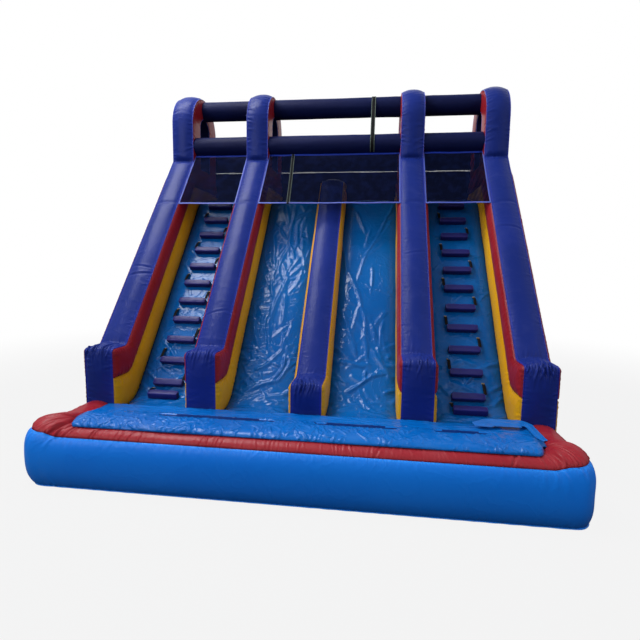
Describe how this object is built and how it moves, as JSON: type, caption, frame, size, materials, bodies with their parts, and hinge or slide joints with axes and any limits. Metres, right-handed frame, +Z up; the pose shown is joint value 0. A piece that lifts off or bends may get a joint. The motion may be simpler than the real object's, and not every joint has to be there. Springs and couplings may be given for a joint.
{
  "type": "inflatable water slide",
  "caption": "Inflatable water slide with arched side walls, slide and climbing lanes, step blocks with hand straps, nets, beams and a landing pool with a mattress.",
  "frame": {"origin": "middle of the bounding box, on the ground", "axes": "+X across the lanes, +Y from the landing pool to the back, +Z up"},
  "size_m": [6.54, 6.5106, 6.14],
  "materials": {
    "navy_vinyl": "satin coated vinyl",
    "red_vinyl": "satin coated vinyl",
    "light_blue_vinyl": "glossy coated vinyl",
    "indigo_vinyl": "satin coated vinyl",
    "net_mesh": "woven mesh",
    "black_webbing": "woven webbing",
    "zinc_steel": "zinc plated"
  },
  "bodies": {
    "slide": {"anchor_tab_left_back": "black_webbing", "anchor_tab_left_front": "black_webbing", "anchor_tab_right_back": "black_webbing", "anchor_tab_right_front": "black_webbing", "beam_sleeve": "black_webbing", "centre_divider": "navy_vinyl", "climb_bed_left": "light_blue_vinyl", "climb_bed_right": "light_blue_vinyl", "corner_flap": "light_blue_vinyl", "inflation_sleeve": "navy_vinyl", "landing_mattress": "light_blue_vinyl", "left_step_01": "indigo_vinyl", "left_step_02": "indigo_vinyl", "left_step_03": "indigo_vinyl", "left_step_04": "indigo_vinyl", "left_step_05": "indigo_vinyl", "left_step_06": "indigo_vinyl", "left_step_07": "indigo_vinyl", "left_step_08": "indigo_vinyl", "left_step_09": "indigo_vinyl", "left_step_10": "indigo_vinyl", "left_step_11": "indigo_vinyl", "left_step_12": "indigo_vinyl", "lower_beam_left": "navy_vinyl", "lower_beam_middle": "navy_vinyl", "lower_beam_right": "navy_vinyl", "net_left": "net_mesh", "net_middle": "net_mesh", "net_right": "net_mesh", "pool_rim": "red_vinyl", "pool_wall": "light_blue_vinyl", "rear_beam": "navy_vinyl", "rear_wall": "navy_vinyl", "right_step_01": "indigo_vinyl", "right_step_02": "indigo_vinyl", "right_step_03": "indigo_vinyl", "right_step_04": "indigo_vinyl", "right_step_05": "indigo_vinyl", "right_step_06": "indigo_vinyl", "right_step_07": "indigo_vinyl", "right_step_08": "indigo_vinyl", "right_step_09": "indigo_vinyl", "right_step_10": "indigo_vinyl", "right_step_11": "indigo_vinyl", "right_step_12": "indigo_vinyl", "slide_bed_left": "light_blue_vinyl", "slide_bed_right": "light_blue_vinyl", "top_beam_left": "navy_vinyl", "top_beam_middle": "navy_vinyl", "top_beam_right": "navy_vinyl", "wall_left_inner": "navy_vinyl", "wall_left_outer": "navy_vinyl", "wall_right_inner": "navy_vinyl", "wall_right_outer": "navy_vinyl", "zip_tape": "black_webbing"},
    "zip_slider": {"zip_slider": "zinc_steel"},
    "anchor_ring_left_front": {"anchor_ring_left_front": "zinc_steel"},
    "anchor_ring_left_back": {"anchor_ring_left_back": "zinc_steel"},
    "anchor_ring_right_front": {"anchor_ring_right_front": "zinc_steel"},
    "anchor_ring_right_back": {"anchor_ring_right_back": "zinc_steel"}
  },
  "joints": [
    {"name": "zip_slider_travel", "type": "slide", "parent": "slide", "child": "zip_slider", "axis": [0, 0, 1], "range_m": [0, 0.5]},
    {"name": "anchor_ring_left_front_swing", "type": "hinge", "parent": "slide", "child": "anchor_ring_left_front", "pos_m": [-3.2128, -1.4653, 0.1], "axis": [0, 1, 0], "range_deg": [0, 120]},
    {"name": "anchor_ring_left_back_swing", "type": "hinge", "parent": "slide", "child": "anchor_ring_left_back", "pos_m": [-3.2128, 1.7347, 0.1], "axis": [0, 1, 0], "range_deg": [0, 120]},
    {"name": "anchor_ring_right_front_swing", "type": "hinge", "parent": "slide", "child": "anchor_ring_right_front", "pos_m": [3.2128, -1.4653, 0.1], "axis": [0, -1, 0], "range_deg": [0, 120]},
    {"name": "anchor_ring_right_back_swing", "type": "hinge", "parent": "slide", "child": "anchor_ring_right_back", "pos_m": [3.2128, 1.7347, 0.1], "axis": [0, -1, 0], "range_deg": [0, 120]}
  ]
}
